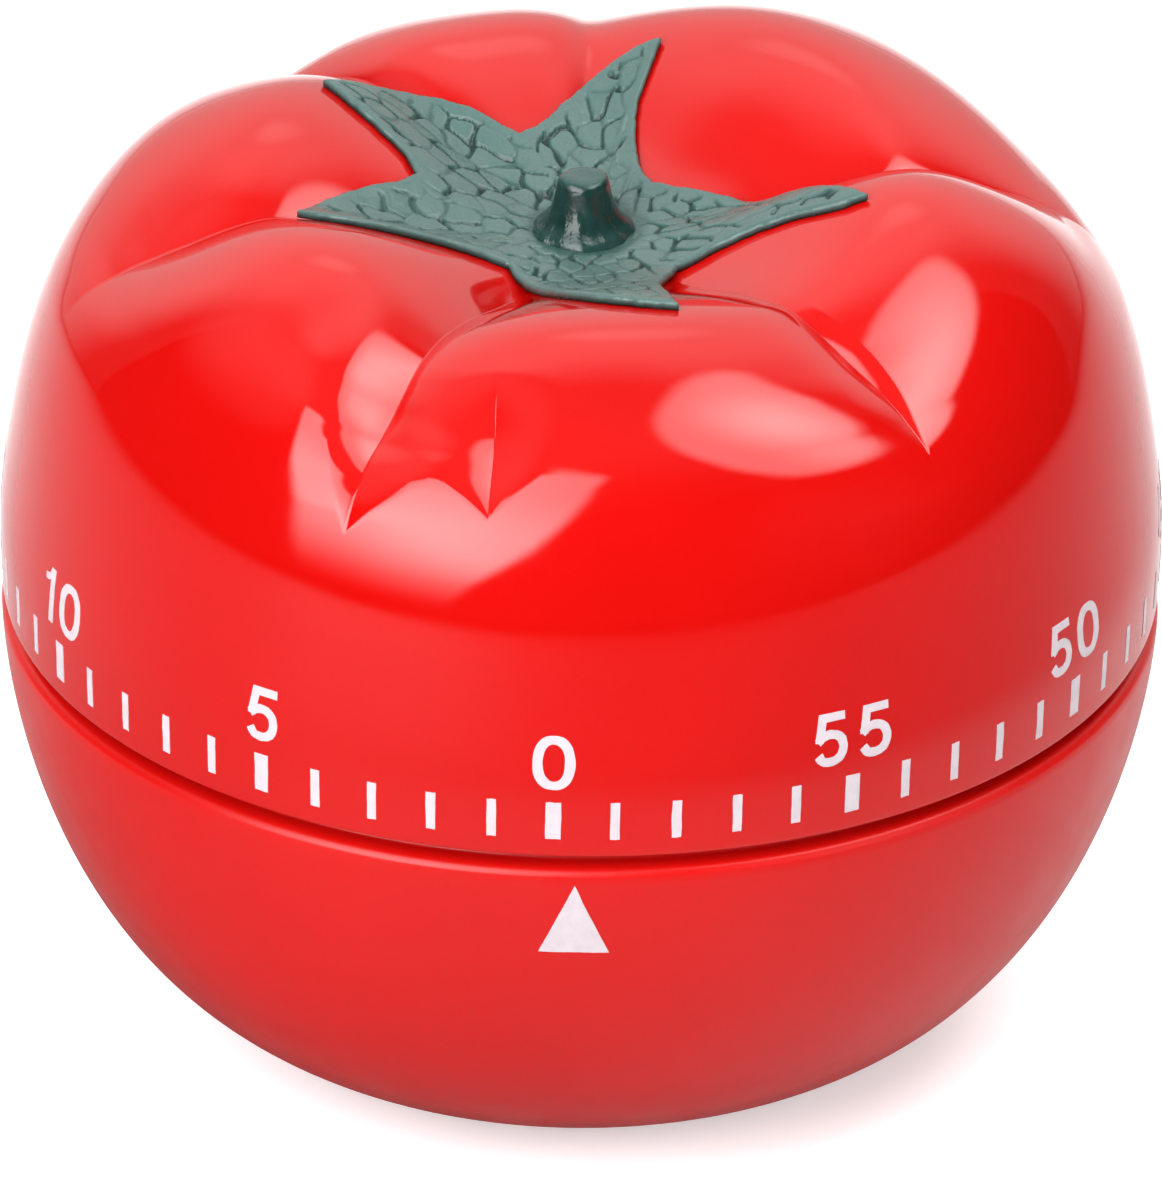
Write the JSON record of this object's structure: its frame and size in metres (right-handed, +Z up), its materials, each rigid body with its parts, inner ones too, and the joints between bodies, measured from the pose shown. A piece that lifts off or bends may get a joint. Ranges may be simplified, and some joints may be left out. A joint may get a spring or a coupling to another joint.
{
  "type": "kitchen timer",
  "caption": "Tomato-shaped mechanical kitchen timer: a lobed glossy top with a green calyx turns on a rounded base to wind a clockwork countdown that rings a bell.",
  "frame": {"origin": "centre of the flat base, on the surface the timer rests on", "axes": "+Z up along the dial's axis, -Y towards the pointer at the front, +X to the right seen from the front"},
  "size_m": [0.0702, 0.0702, 0.0579],
  "materials": {
    "red_gloss": "high gloss",
    "red_satin": "satin gloss",
    "calyx_green": "painted satin",
    "brass": "stamped",
    "steel": "turned",
    "spring_steel": "blued",
    "zinc_plate": "zinc plated",
    "bell_steel": "nickel plated"
  },
  "bodies": {
    "base": {"lower_shell": "red_satin", "rear_plate": "zinc_plate", "front_plate": "zinc_plate", "front_bush": "brass", "stop_pin": "steel", "release_pivot": "steel", "pillars": "steel", "plate_nuts": "steel", "case_screws": "steel", "bell": "bell_steel", "centre_post": "brass", "bell_screw": "steel"},
    "dial": {"upper_shell": "red_gloss", "calyx": "calyx_green", "main_arbor": "steel", "stop_arm": "zinc_plate", "arbor_clip": "steel", "mainspring": "spring_steel", "main_wheel": "brass", "ratchet_wheel": "steel", "click_pawl": "steel", "click_stud": "steel", "click_spring": "spring_steel", "release_cam": "steel"},
    "second": {"second_arbor": "steel", "second_wheel": "brass"},
    "third": {"third_arbor": "steel", "third_wheel": "brass"},
    "escape": {"escape_arbor": "steel", "escape_wheel": "brass"},
    "pallet": {"pallet_staff": "steel", "pallet_lever": "zinc_plate", "pallet_pins": "steel", "balance_bar": "steel"},
    "strike": {"strike_wheel": "brass", "spring_hook_pin": "steel"},
    "star": {"star_arbor": "steel", "star_wheel": "steel"},
    "hammer": {"hammer_staff": "steel", "hammer_arm": "zinc_plate", "hammer_head": "brass", "hammer_tail": "zinc_plate"},
    "release": {"release_lever": "zinc_plate"}
  },
  "joints": [
    {"name": "dial_turn", "type": "hinge", "parent": "base", "child": "dial", "pos_m": [0, 0, 0.03], "axis": [0, 0, 1], "range_deg": [0, 344], "deforming": ["mainspring"]},
    {"name": "second_turn", "type": "hinge", "parent": "base", "child": "second", "pos_m": [0, 0.018, 0.02], "axis": [0, 0, 1], "continuous": true},
    {"name": "third_turn", "type": "hinge", "parent": "base", "child": "third", "pos_m": [0.01018, 0.01545, 0.02], "axis": [0, 0, 1], "continuous": true},
    {"name": "escape_turn", "type": "hinge", "parent": "base", "child": "escape", "pos_m": [0.01739, 0.00882, 0.02], "axis": [0, 0, 1], "continuous": true},
    {"name": "pallet_rock", "type": "hinge", "parent": "base", "child": "pallet", "pos_m": [0.01944, 0.0015, 0.02], "axis": [0, 0, 1], "range_deg": [-3, 3]},
    {"name": "strike_turn", "type": "hinge", "parent": "base", "child": "strike", "pos_m": [0, 0, 0.0158], "axis": [0, 0, 1], "continuous": true},
    {"name": "star_turn", "type": "hinge", "parent": "base", "child": "star", "pos_m": [-0.01691, -0.00616, 0.02], "axis": [0, 0, 1], "continuous": true},
    {"name": "hammer_swing", "type": "hinge", "parent": "base", "child": "hammer", "pos_m": [-0.01598, -0.01439, 0.02], "axis": [0, 0, 1], "range_deg": [-7, 7]},
    {"name": "release_rock", "type": "hinge", "parent": "base", "child": "release", "pos_m": [0.0041, -0.01128, 0.02], "axis": [0, 0, 1], "range_deg": [0, 8]}
  ],
  "couplings": [
    {"joint": "second_turn", "follows": "dial_turn", "ratio": -8},
    {"joint": "third_turn", "follows": "dial_turn", "ratio": 48},
    {"joint": "escape_turn", "follows": "dial_turn", "ratio": -288},
    {"joint": "star_turn", "follows": "strike_turn", "ratio": -8}
  ]
}
